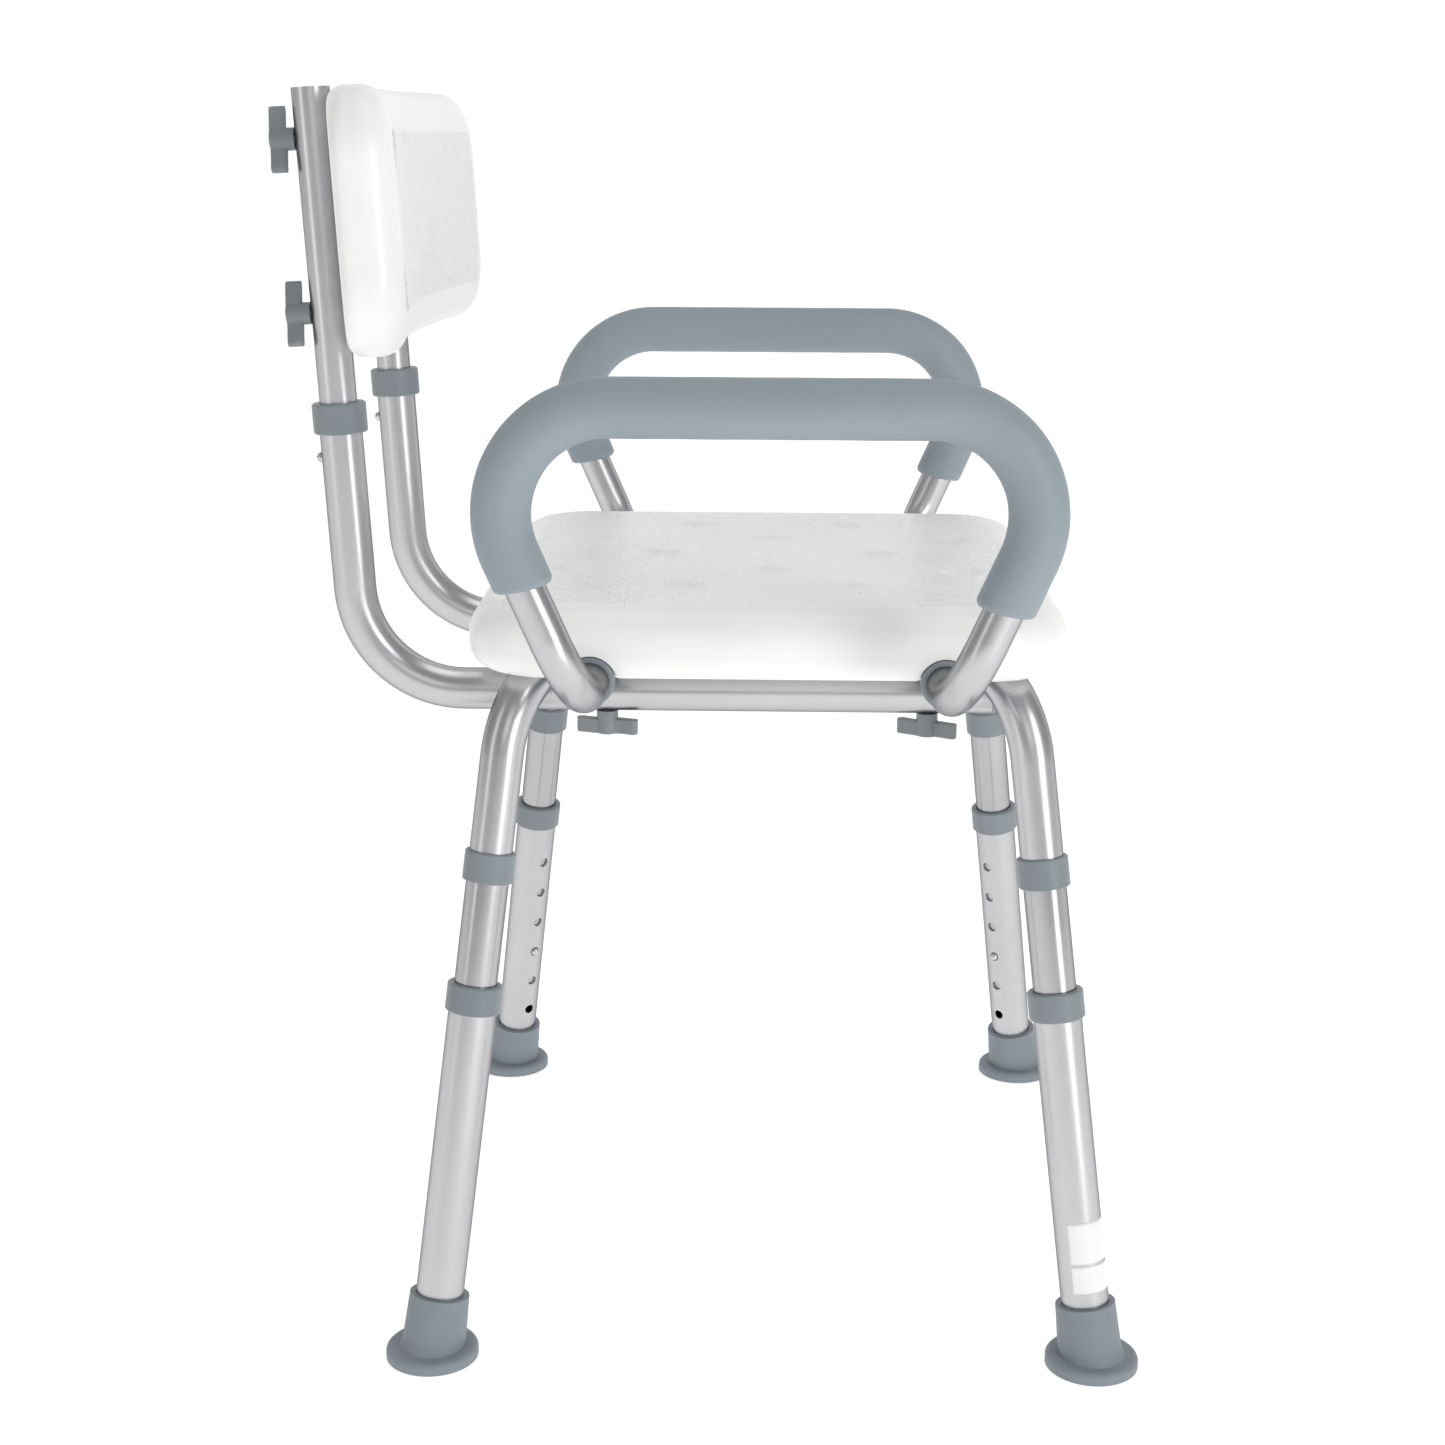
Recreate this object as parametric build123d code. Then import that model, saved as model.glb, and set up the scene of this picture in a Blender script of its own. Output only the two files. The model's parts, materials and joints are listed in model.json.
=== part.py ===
from build123d import *
import math
import os

# Shower chair with adjustable legs, lift-off back and pull-out arms.
# Millimetres, +Z up, floor at Z 0, mid-plane X 0, chair faces -Y.

# Tubes
TUBE_1 = 25.4          # frame, rails and leg inserts
TUBE_WALL = 1.5
RUN = 0.1              # running clearance, each side
FIT = 0.05             # seated clearance, each side
TUBE_1_BORE = TUBE_1 - 2 * TUBE_WALL
LOWER_BORE = TUBE_1 + 2 * RUN
LOWER_D = LOWER_BORE + 2 * TUBE_WALL      # adjustable lower legs
SMALL_D = TUBE_1_BORE - 2 * RUN           # back uprights and arm tubes
SMALL_BORE = SMALL_D - 2 * TUBE_WALL

# Seat
SEAT_W = 380.0
SEAT_D = 352.0
SEAT_TOP = 448.5
SEAT_BASE = 406.5
SEAT_CORNER_R = 50.0
SEAT_TOP_R = 22.0
SEAT_BASE_R = 15.0
SEAT_WALL = 4.0
CHANNEL_GAP = 0.6
ARCH_R = 7.0           # shoulders of the openings round the arm tubes
PIT_R = 15.0
PIT_DEEP = 2.0
PIT_POST_R = 9.0
PIT_ROWS = ((0.0, (-70.0, 70.0)), (58.0, (-120.0, 0.0, 120.0)), (112.0, (-51.0, 51.0)))

# Legs
FOOT_X = 223.2
FOOT_Y = 197.3
LEAN_X = 0.1423        # inward run per unit of height
LEAN_Y = 0.1192
LEG_RUN_Z = 415.0      # centre line of the tubes under the seat
LEG_BEND_R = 68.0
LEG_TUBE_END_X = 16.0
UPPER_COLLAR_Z = 294.1
UPPER_COLLAR_D = TUBE_1 + 4.8
UPPER_COLLAR_H = 18.0
LOWER_COLLAR_Z = 216.3
LOWER_COLLAR_D = LOWER_D + 4.4
LOWER_COLLAR_H = 17.0
COLLAR_LIP = 2.5
INSERT_END_Z = 66.0
SPIGOT_LEN = 52.0
HOLE_PITCH = 25.4
HOLES_ABOVE = 3
HOLES_BELOW = 2
BUTTON_Z = 105.6
BUTTON_D = 6.4
BUTTON_OUT = 3.0
BUTTON_FLANGE_D = 9.0

# Feet
FOOT_D = 55.2
FOOT_EDGE = 7.0
FERRULE_TOP_Z = 37.3
FERRULE_TOP_D = LOWER_D + 7
FERRULE_BASE_D = LOWER_D + 9.4
FERRULE_BASE_Z = 9.0
TUBE_SEAT_Z = 8.0

# Side rails and back
RAIL_X = 104.0
RAIL_Z = 382.6
RAIL_FRONT_Y = -136.0
RAIL_BEND_R = 65.0
BACK_LINE_Y = 246.1    # where the back line meets the rail's height
BACK_TILT = 0.0545
BACK_COLLAR_Z = 547.0
BACK_COLLAR_D = TUBE_1 + 6.6
BACK_COLLAR_H = 18.0
RAIL_TOP_Z = BACK_COLLAR_Z + BACK_COLLAR_H / 2 - 3
BACK_BUTTON_Z = 523.8
UPRIGHT_FOOT_Z = 462.0
UPRIGHT_TOP_Z = 736.0
PLUG_LEN = 14.0
PLUG_HEAD = 2.5

# Backrest
REST_W = 380.0
REST_Z0 = 585.0
REST_Z1 = 735.0
REST_T = 35.0
REST_CURVE_R = 1050.0
REST_CORNER_R = 42.0
REST_FRONT_R = 17.0
REST_REAR_R = 10.0
PANEL_IN = 25.0        # from the backrest's edge to its raised panel
PANEL_RISE = 1.2
REST_GAP = 0.3
BACK_KNOB_Z = (608.5, 707.6)

# Arms
ARM_OUT = 65.0         # from the seat's side to the arm's plane
ARM_X = SEAT_W / 2 + ARM_OUT
ARM_TOP_Z = 571.0
ARM_CORNER_Y = 173.3
ARM_CORNER_R = 57.0
ARM_ROOT_Y = 101.5
ARM_ROOT_Z = 407.4
ARM_ROOT_R = 42.0
ARM_IN = 38.0          # length of arm tube under the seat
ARM_END_X = SEAT_W / 2 - ARM_IN
FOAM_WALL = 5.3
FOAM_D = SMALL_D + 2 * FIT + 2 * FOAM_WALL
FOAM_END_Z = {1: 474.0, -1: 463.0}         # rear and front ends of the grip
SOCKET_FLANGE_D = SMALL_D + 6.3
SOCKET_FLANGE_X = (SEAT_W / 2 - 5, SEAT_W / 2 + 1)
SOCKET_SLEEVE_D = SMALL_D + 3.2
SOCKET_INNER_X = ARM_END_X - 6
SADDLE_W = 20.0
SADDLE_PAST = 14.0

# Knobs
KNOB_Y = 97.5
KNOB_SPAN = 37.5
KNOB_WING_T = 7.5
KNOB_WING_H = 8.8
KNOB_SWEEP = 4.0
KNOB_HUB_D = 13.0
KNOB_HUB_H = 5.6
SCREW_D = 6.0
SCREW_HOLE_D = 6.6
THREAD_GAP = 0.1
REST_GRIP = 18.0       # screw length inside the backrest
SEAT_GRIP = 27.0       # screw length inside the seat

# Hub under the seat
HUB_X = 46.0
HUB_Y = 52.0
HUB_Z = (400.5, 430.0)
HUB_BOLT_D = 8.0
HUB_BOLT_LEN = 34.0

SIDES = {"left": -1, "right": 1}
ENDS = {"front": -1, "rear": 1}

LEG_SLOPE = LEAN_Y / LEAN_X
LEAN = math.hypot(LEAN_X, LEAN_Y)
LEG_SCALE = math.sqrt(1 + LEAN**2)
BACK_SCALE = math.sqrt(1 + BACK_TILT**2)
BACK_SCREW_LEN = SMALL_D + REST_GRIP
UNDER_SCREW_LEN = SEAT_BASE + SEAT_GRIP - (RAIL_Z - TUBE_1 / 2)
BOLT_HOLE_TOP = HUB_Z[0] + HUB_BOLT_LEN + 1


def bent_path(points, radii):
    """Straight runs through the points, with an arc of the given radius at each inner one."""
    pts = [Vector(*p) for p in points]
    edges = []
    start = pts[0]
    for i, radius in enumerate(radii, start=1):
        corner = pts[i]
        back = (pts[i - 1] - corner).normalized()
        ahead = (pts[i + 1] - corner).normalized()
        half = math.radians(back.get_angle(ahead)) / 2
        reach = radius / math.tan(half)
        middle = corner + (back + ahead).normalized() * (radius / math.sin(half) - radius)
        edges.append(Edge.make_line(start, corner + back * reach))
        edges.append(Edge.make_three_point_arc(corner + back * reach, middle, corner + ahead * reach))
        start = corner + ahead * reach
    edges.append(Edge.make_line(start, pts[-1]))
    return Wire(edges)


def bar_along(path, radius):
    section = Plane(origin=path @ 0, z_dir=path % 0) * Circle(radius)
    return sweep(section, path=path)


def tube_along(path, outer_d, bore_d):
    return bar_along(path, outer_d / 2) - bar_along(path, bore_d / 2)


def bar_between(start, end, radius):
    return bar_along(Wire([Edge.make_line(Vector(*start), Vector(*end))]), radius)


def disc(radius, low, high):
    return Pos(0, 0, low) * Cylinder(radius, high - low, align=(Align.CENTER, Align.CENTER, Align.MIN))


def back_y(z):
    return BACK_LINE_Y + BACK_TILT * (z - RAIL_Z)


def leg_point(sx, sy, z):
    return (sx * (FOOT_X - LEAN_X * z), sy * (FOOT_Y - LEAN_Y * z), z)


def leg_frame(sx, sy):
    """Leg frame: local Z up the leg from the floor, local X away from the chair's middle."""
    out = (sx * LEAN_X, sy * LEAN_Y, LEAN**2)
    up = (-sx * LEAN_X, -sy * LEAN_Y, 1)
    return Plane(origin=(sx * FOOT_X, sy * FOOT_Y, 0), x_dir=out, z_dir=up)


def along_leg(z):
    return z * LEG_SCALE


def run_point(sx, sy, x):
    """Point on the centre line of the leg tube's level run, at distance x from the mid-plane."""
    corner = leg_point(1, 1, LEG_RUN_Z)
    return (sx * x, sy * (corner[1] - LEG_SLOPE * (corner[0] - x)), LEG_RUN_Z)


def leg_path(sx, sy, end_x):
    points = [leg_point(sx, sy, UPPER_COLLAR_Z), leg_point(sx, sy, LEG_RUN_Z), run_point(sx, sy, end_x)]
    return bent_path(points, [LEG_BEND_R])


# ---- seat ----


def pillow(width, depth, low, high, corner_r, low_r, high_r):
    body = extrude(Pos(0, 0, low) * RectangleRounded(width, depth, corner_r), high - low)
    body = fillet(body.faces().sort_by(Axis.Z)[-1].edges(), high_r)
    return fillet(body.faces().sort_by(Axis.Z)[0].edges(), low_r)


def pit_places():
    places = []
    for x, ys in PIT_ROWS:
        for y in ys:
            places += [(x, y)] if x == 0 else [(x, y), (-x, y)]
    return places


def arm_root(sx, sy, radius, inner_x, outer_x):
    y = sy * ARM_ROOT_Y
    return bar_between((sx * inner_x, y, ARM_ROOT_Z), (sx * outer_x, y, ARM_ROOT_Z), radius)


def arch(sx, sy, radius, inner_x, outer_x):
    """Channel for an arm tube, open at the seat's base between two rounded shoulders."""
    y = sy * ARM_ROOT_Y
    outline = Pos(y, ARM_ROOT_Z) * Circle(radius)
    outline += Pos(y, SEAT_BASE - radius) * Rectangle(2 * radius + 4 * ARCH_R, 2 * radius)
    corners = [v for v in outline.vertices() if abs(v.Y - SEAT_BASE) < 0.01 and abs(v.X - y) < radius + ARCH_R]
    outline = fillet(corners, ARCH_R)
    low = min(sx * inner_x, sx * outer_x)
    return extrude(Plane.YZ.offset(low) * outline, outer_x - inner_x)


def hub_block(margin):
    low = HUB_Z[0] - margin
    high = HUB_Z[1] + margin
    base = Pos(0, 0, low) * RectangleRounded(2 * (HUB_X + margin), 2 * (HUB_Y + margin), 14)
    return extrude(base, high - low)


def seat_hollow():
    """Space inside the blow-moulded shell, less the walls round every channel and post."""
    w = SEAT_WALL
    space = pillow(SEAT_W - 2 * w, SEAT_D - 2 * w, SEAT_BASE + w, SEAT_TOP - w,
                   SEAT_CORNER_R - w, SEAT_BASE_R - w, SEAT_TOP_R - w)
    keep = [hub_block(CHANNEL_GAP + w), disc(HUB_BOLT_D / 2 + w, SEAT_BASE, BOLT_HOLE_TOP + w)]
    for sx in SIDES.values():
        for sy in ENDS.values():
            keep.append(bar_along(leg_path(sx, sy, LEG_TUBE_END_X), TUBE_1 / 2 + CHANNEL_GAP + w))
            keep.append(arm_root(sx, sy, SOCKET_FLANGE_D / 2 + CHANNEL_GAP + w, SOCKET_INNER_X - w, SEAT_W))
            keep.append(Pos(sx * RAIL_X, sy * KNOB_Y) * disc(SCREW_D + w, SEAT_BASE, SEAT_TOP))
    for x, y in pit_places():
        keep.append(Pos(x, y) * disc(PIT_POST_R, SEAT_BASE, SEAT_TOP))
    return space - keep


def seat():
    body = pillow(SEAT_W, SEAT_D, SEAT_BASE, SEAT_TOP, SEAT_CORNER_R, SEAT_BASE_R, SEAT_TOP_R)
    ball_r = (PIT_R**2 + PIT_DEEP**2) / (2 * PIT_DEEP)
    cuts = [hub_block(CHANNEL_GAP), disc(HUB_BOLT_D / 2 + THREAD_GAP, SEAT_BASE, BOLT_HOLE_TOP)]
    for sx in SIDES.values():
        for sy in ENDS.values():
            cuts.append(bar_along(leg_path(sx, sy, LEG_TUBE_END_X), TUBE_1 / 2 + CHANNEL_GAP))
            inner = SOCKET_INNER_X - CHANNEL_GAP
            flange = SOCKET_FLANGE_X[0] - CHANNEL_GAP
            cuts.append(arch(sx, sy, SOCKET_SLEEVE_D / 2 + CHANNEL_GAP, inner, flange))
            cuts.append(arch(sx, sy, SOCKET_FLANGE_D / 2 + CHANNEL_GAP, flange, SEAT_W))
            screw_top = SEAT_BASE + SEAT_GRIP + 1
            cuts.append(Pos(sx * RAIL_X, sy * KNOB_Y) * disc(SCREW_D / 2 + THREAD_GAP, SEAT_BASE - 1, screw_top))
    for x, y in pit_places():
        cuts.append(Pos(x, y, SEAT_TOP - PIT_DEEP + ball_r) * Sphere(ball_r))
    for cut in cuts + [seat_hollow()]:
        body -= cut
    return body


def cross_hub():
    body = hub_block(0)
    body = fillet(body.faces().sort_by(Axis.Z)[0].edges(), 3)
    cuts = [disc(HUB_BOLT_D / 2 + RUN, HUB_Z[0] - 1, HUB_Z[1] + 1)]
    for sx in SIDES.values():
        for sy in ENDS.values():
            start = run_point(sx, sy, LEG_TUBE_END_X - 0.5)
            cuts.append(bar_between(start, run_point(sx, sy, 2 * HUB_X), TUBE_1 / 2 + FIT))
    return body - cuts


def hub_bolt():
    shank = disc(HUB_BOLT_D / 2, HUB_Z[0] - 1, HUB_Z[0] + HUB_BOLT_LEN)
    washer = disc(HUB_BOLT_D * 1.25, HUB_Z[0] - 1.6, HUB_Z[0])
    low = HUB_Z[0] - 1.6 - 5.5
    head = extrude(Pos(0, 0, low) * RegularPolygon(7.2, 6), 5.5)
    return shank + washer + head


# ---- legs ----


def leg_frame_tube(sx, sy):
    """Upper leg, bent in under the seat and drilled for the clamp screw."""
    body = tube_along(leg_path(sx, sy, LEG_TUBE_END_X), TUBE_1, TUBE_1_BORE)
    return body - Pos(sx * RAIL_X, sy * KNOB_Y) * disc(SCREW_HOLE_D / 2, RAIL_Z, SEAT_TOP)


def upper_collar():
    mid = along_leg(UPPER_COLLAR_Z)
    low = mid - UPPER_COLLAR_H / 2
    high = mid + UPPER_COLLAR_H / 2
    body = disc(UPPER_COLLAR_D / 2, low, high)
    body = chamfer(body.edges().filter_by(GeomType.CIRCLE), 0.8)
    return body - disc(TUBE_1 / 2 + FIT, low - 1, high + 1)


def leg_insert():
    """Inner leg tube, necked down at its top to plug into the frame tube."""
    foot = along_leg(INSERT_END_Z)
    neck = along_leg(UPPER_COLLAR_Z)
    button = along_leg(BUTTON_Z)
    body = disc(TUBE_1 / 2, foot, neck) + disc(TUBE_1_BORE / 2 - FIT, neck, neck + SPIGOT_LEN)
    body -= disc(TUBE_1_BORE / 2, foot - 1, neck - 8)
    body -= disc(TUBE_1_BORE / 2 - FIT - TUBE_WALL, neck - 9, neck + SPIGOT_LEN + 1)
    return body - side_hole(button, BUTTON_D / 2 + RUN)


def side_hole(s, radius):
    """Cutter through the inward-facing wall of a leg tube, at distance s up the leg."""
    return Pos(-LOWER_D / 2, 0, s) * Rot(0, 90, 0) * Cylinder(radius, LOWER_D / 2)


def lower_leg():
    low = along_leg(TUBE_SEAT_Z)
    high = along_leg(LOWER_COLLAR_Z) + LOWER_COLLAR_H / 2 - COLLAR_LIP
    body = disc(LOWER_D / 2, low, high) - disc(LOWER_BORE / 2, low - 1, high + 1)
    for step in range(-HOLES_BELOW, HOLES_ABOVE + 1):
        body -= side_hole(along_leg(BUTTON_Z) + step * HOLE_PITCH, BUTTON_D / 2 + 0.3)
    return body


def lower_collar():
    mid = along_leg(LOWER_COLLAR_Z)
    low = mid - LOWER_COLLAR_H / 2
    high = mid + LOWER_COLLAR_H / 2
    body = disc(LOWER_COLLAR_D / 2, low, high)
    body = chamfer(body.edges().filter_by(GeomType.CIRCLE), 0.9)
    body -= disc(LOWER_D / 2 + FIT, low - 1, high - COLLAR_LIP)
    return body - disc(LOWER_BORE / 2, low, high + 1)


def leg_button():
    """Domed snap button with its inner flange; local X points into the tube."""
    body = snap_button(LOWER_D / 2, TUBE_1_BORE / 2)
    return Pos(0, 0, along_leg(BUTTON_Z)) * Rot(0, -90, 0) * body


def snap_button(outer_r, bore_r):
    tip = outer_r + BUTTON_OUT
    flange = bore_r - 1.2
    pin = disc(BUTTON_D / 2, flange - 1, tip)
    pin = fillet(pin.edges().sort_by(Axis.Z)[-1], BUTTON_D / 2 - 0.2)
    return pin + disc(BUTTON_FLANGE_D / 2, flange - 1.2, flange)


def foot(sx, sy):
    """Tip with a flat tread on the floor and a ferrule that leans with the leg."""
    flange = disc(FOOT_D / 2, 0, FOOT_EDGE)
    flange = fillet(flange.edges().sort_by(Axis.Z)[-1], 3.2)
    flange = Pos(sx * FOOT_X, sy * FOOT_Y) * flange
    low = along_leg(1)
    high = along_leg(FERRULE_TOP_Z)
    side = Polyline((0, low), (FERRULE_BASE_D / 2 + 3, low), (FERRULE_BASE_D / 2, FERRULE_BASE_Z),
                    (FERRULE_TOP_D / 2, high), (0, high), (0, low))
    cone = revolve(make_face(Plane.XZ * side), Axis.Z)
    ferrule = leg_frame(sx, sy) * cone
    below = Pos(sx * FOOT_X, sy * FOOT_Y, -20) * Box(90, 90, 40)
    bore = disc(LOWER_D / 2 + FIT, along_leg(TUBE_SEAT_Z) - FIT, high + 1)
    return flange + (ferrule - below) - leg_frame(sx, sy) * bore


# ---- rails and back ----


def back_point(sx, z):
    return (sx * RAIL_X, back_y(z), z)


def side_rail(sx):
    """Back tube, bent forward into the rail under the seat."""
    points = [back_point(sx, RAIL_TOP_Z), back_point(sx, RAIL_Z), (sx * RAIL_X, RAIL_FRONT_Y, RAIL_Z)]
    body = tube_along(bent_path(points, [RAIL_BEND_R]), TUBE_1, TUBE_1_BORE)
    for sy in ENDS.values():
        hole = disc(SCREW_HOLE_D / 2, RAIL_Z - TUBE_1, RAIL_Z + TUBE_1)
        body -= Pos(sx * RAIL_X, sy * KNOB_Y) * hole
    return body - back_hole(sx, BACK_BUTTON_Z, BUTTON_D / 2 + 0.3)


def back_frame(sx, z):
    """Frame on the back tube's centre line: local Z up the tube, local X to the rear."""
    return Plane(origin=back_point(sx, z), x_dir=(0, 1, -BACK_TILT), z_dir=(0, BACK_TILT, 1))


def back_hole(sx, z, radius):
    return back_frame(sx, z) * Pos(TUBE_1 / 2, 0, 0) * Rot(0, 90, 0) * Cylinder(radius, TUBE_1)


def rail_plug(sx):
    front = RAIL_FRONT_Y
    x = sx * RAIL_X
    head = bar_between((x, front, RAIL_Z), (x, front - PLUG_HEAD, RAIL_Z), TUBE_1 / 2)
    stem = bar_between((x, front + PLUG_LEN, RAIL_Z), (x, front, RAIL_Z), TUBE_1_BORE / 2 - FIT)
    return head + stem


def back_collar(sx):
    half = BACK_COLLAR_H / 2
    body = chamfer(disc(BACK_COLLAR_D / 2, -half, half).edges().filter_by(GeomType.CIRCLE), 0.9)
    body -= disc(TUBE_1 / 2 + FIT, -half - 1, (RAIL_TOP_Z - BACK_COLLAR_Z) * BACK_SCALE + FIT)
    body -= disc(TUBE_1_BORE / 2, -half, half + 1)
    return back_frame(sx, BACK_COLLAR_Z) * body


def upright(sx):
    line = Wire([Edge.make_line(Vector(*back_point(sx, UPRIGHT_FOOT_Z)), Vector(*back_point(sx, UPRIGHT_TOP_Z)))])
    body = tube_along(line, SMALL_D, SMALL_BORE)
    for z in BACK_KNOB_Z:
        body -= back_frame(sx, z) * Rot(0, 90, 0) * Cylinder(SCREW_HOLE_D / 2, 2 * SMALL_D)
    return body - back_hole(sx, BACK_BUTTON_Z, BUTTON_D / 2 + RUN)


def back_button(sx):
    body = Rot(0, 90, 0) * snap_button(TUBE_1 / 2, SMALL_BORE / 2)
    return back_frame(sx, BACK_BUTTON_Z) * body


def backrest():
    """Thick moulded panel, bowed in plan, leaning with the uprights."""
    tilt = math.degrees(math.atan(BACK_TILT))
    mid_z = (REST_Z0 + REST_Z1) / 2
    tall = (REST_Z1 - REST_Z0) * BACK_SCALE
    rear_y = REST_CURVE_R - math.sqrt(REST_CURVE_R**2 - RAIL_X**2) - SMALL_D / 2 - REST_GAP
    centre = rear_y - REST_CURVE_R
    ring = disc(REST_CURVE_R, -tall / 2, tall / 2) - disc(REST_CURVE_R - REST_T, -tall, tall)
    ring = Pos(0, centre, 0) * ring
    outline = extrude(Plane.XZ * RectangleRounded(REST_W, tall, REST_CORNER_R), 90, both=True)
    body = ring & outline
    if len(body.solids()) > 1:
        body = body.solids().sort_by(Axis.Y)[-1]
    body = fillet(rest_face(body, -1).edges(), REST_REAR_R)
    body = fillet(rest_face(body, 0).edges(), REST_FRONT_R)
    body += raised_panel(tall, centre)
    for sx in SIDES.values():
        for z in BACK_KNOB_Z:
            local = (z - mid_z) * BACK_SCALE
            tip = -SMALL_D / 2 - REST_GRIP - 1
            hole = bar_between((sx * RAIL_X, 0, local), (sx * RAIL_X, tip, local), SCREW_D / 2 + THREAD_GAP)
            body -= hole
    return Pos(0, back_y(mid_z), mid_z) * Rot(-tilt, 0, 0) * body


def rest_face(body, which):
    """Front (0) or rear (-1) of the two large curved faces."""
    return body.faces().sort_by(SortBy.AREA)[-2:].sort_by(Axis.Y)[which]


def raised_panel(tall, centre):
    """Panel that stands out from the middle of the front face and follows its bow."""
    outline = RectangleRounded(REST_W - 2 * PANEL_IN, tall - 2 * PANEL_IN, REST_CORNER_R - PANEL_IN / 2)
    front_r = REST_CURVE_R - REST_T
    skin = disc(front_r + 2, -tall, tall) - disc(front_r - PANEL_RISE, -tall - 1, tall + 1)
    return extrude(Plane.XZ * outline, 90, both=True) & (Pos(0, centre, 0) * skin)


# ---- arms ----


def arm_path(sx, end_x):
    x = sx * ARM_X
    near = sx * end_x
    points = [(near, ARM_ROOT_Y, ARM_ROOT_Z), (x, ARM_ROOT_Y, ARM_ROOT_Z), (x, ARM_CORNER_Y, ARM_TOP_Z),
              (x, -ARM_CORNER_Y, ARM_TOP_Z), (x, -ARM_ROOT_Y, ARM_ROOT_Z), (near, -ARM_ROOT_Y, ARM_ROOT_Z)]
    return bent_path(points, [ARM_ROOT_R, ARM_CORNER_R, ARM_CORNER_R, ARM_ROOT_R])


def arm_tube(sx):
    return tube_along(arm_path(sx, ARM_END_X), SMALL_D, SMALL_BORE)


def foam_point(sx, sy):
    share = (FOAM_END_Z[sy] - ARM_ROOT_Z) / (ARM_TOP_Z - ARM_ROOT_Z)
    return (sx * ARM_X, sy * (ARM_ROOT_Y + share * (ARM_CORNER_Y - ARM_ROOT_Y)), FOAM_END_Z[sy])


def arm_foam(sx):
    x = sx * ARM_X
    points = [foam_point(sx, 1), (x, ARM_CORNER_Y, ARM_TOP_Z), (x, -ARM_CORNER_Y, ARM_TOP_Z), foam_point(sx, -1)]
    path = bent_path(points, [ARM_CORNER_R, ARM_CORNER_R])
    body = tube_along(path, FOAM_D, SMALL_D + 2 * FIT)
    girth = math.pi * (FOAM_D - 4)
    top = max(FOAM_END_Z.values()) + 4
    ends = [e for e in body.edges() if e.length > girth and e.center(CenterOf.BOUNDING_BOX).Z < top]
    return fillet(ends, 1.5)


def arm_socket(sx, sy):
    """Bush round the arm tube, with a saddle between the side rail and the leg tube."""
    body = arm_root(sx, sy, SOCKET_SLEEVE_D / 2, SOCKET_INNER_X, SOCKET_FLANGE_X[0])
    flange = arm_root(sx, sy, SOCKET_FLANGE_D / 2, *SOCKET_FLANGE_X)
    body += fillet(flange.edges().sort_by(Axis.X)[-1 if sx > 0 else 0], 1.6)
    rail_top = RAIL_Z + TUBE_1 / 2
    inner = RAIL_X - SADDLE_PAST
    outer = SOCKET_INNER_X + 10
    slab = Box(outer - inner, SADDLE_W, SEAT_BASE - 1 - rail_top, align=(Align.CENTER, Align.CENTER, Align.MIN))
    body += Pos(sx * (inner + outer) / 2, sy * (ARM_ROOT_Y - 1), rail_top + 0.2) * slab
    body -= arm_root(sx, sy, SMALL_D / 2 + RUN, ARM_END_X - 3, SEAT_W)
    body -= bar_along(leg_path(sx, sy, LEG_TUBE_END_X), TUBE_1 / 2 + FIT)
    return body - Pos(sx * RAIL_X, sy * KNOB_Y) * disc(SCREW_HOLE_D / 2, RAIL_Z, SEAT_TOP)


# ---- knobs ----


def wing_plan():
    """Plan of one wing: a blade that swings aside towards its tip."""
    half = KNOB_SPAN / 2
    edge = KNOB_WING_T / 2
    reach = ((0, 0), (half * 0.45, -0.25 * KNOB_SWEEP), (half, -KNOB_SWEEP))
    upper = Spline(*[(x, y + edge) for x, y in reach], tangents=((1, 0), (1, 0)))
    lower = Spline(*[(x, y - edge) for x, y in reach], tangents=((1, 0), (1, 0)))
    tip = Line(upper @ 1, lower @ 1)
    root = Line(lower @ 0, upper @ 0)
    return make_face([upper, tip, lower, root])


def wing_knob(screw_len):
    """Knob with two swept wings; screw along +Z, seating face at Z 0, wings below."""
    low = -KNOB_HUB_H - KNOB_WING_H
    wing = extrude(wing_plan(), KNOB_WING_H)
    wing = fillet(wing.edges().filter_by(Axis.Z).group_by(Axis.X)[-1], KNOB_WING_T / 2 - 1)
    body = Pos(0, 0, low) * (wing + Rot(0, 0, 180) * wing)
    body += disc(KNOB_HUB_D / 2, low, -KNOB_HUB_H)
    body = fillet(body.faces().sort_by(Axis.Z)[0].edges(), 1)
    return body + disc(KNOB_HUB_D / 2, low + 2, 0) + disc(SCREW_D / 2, -2, screw_len)


def back_knob(sx, z):
    seat_face = back_frame(sx, z) * Pos(SMALL_D / 2, 0, 0)
    return seat_face * Rot(0, -90, 0) * wing_knob(BACK_SCREW_LEN)


def under_knob(sx, sy):
    turn = Rot(0, 0, 90 if sy > 0 else 78)
    return Pos(sx * RAIL_X, sy * KNOB_Y, RAIL_Z - TUBE_1 / 2) * turn * wing_knob(UNDER_SCREW_LEN)


# ---- assembly ----


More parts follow.
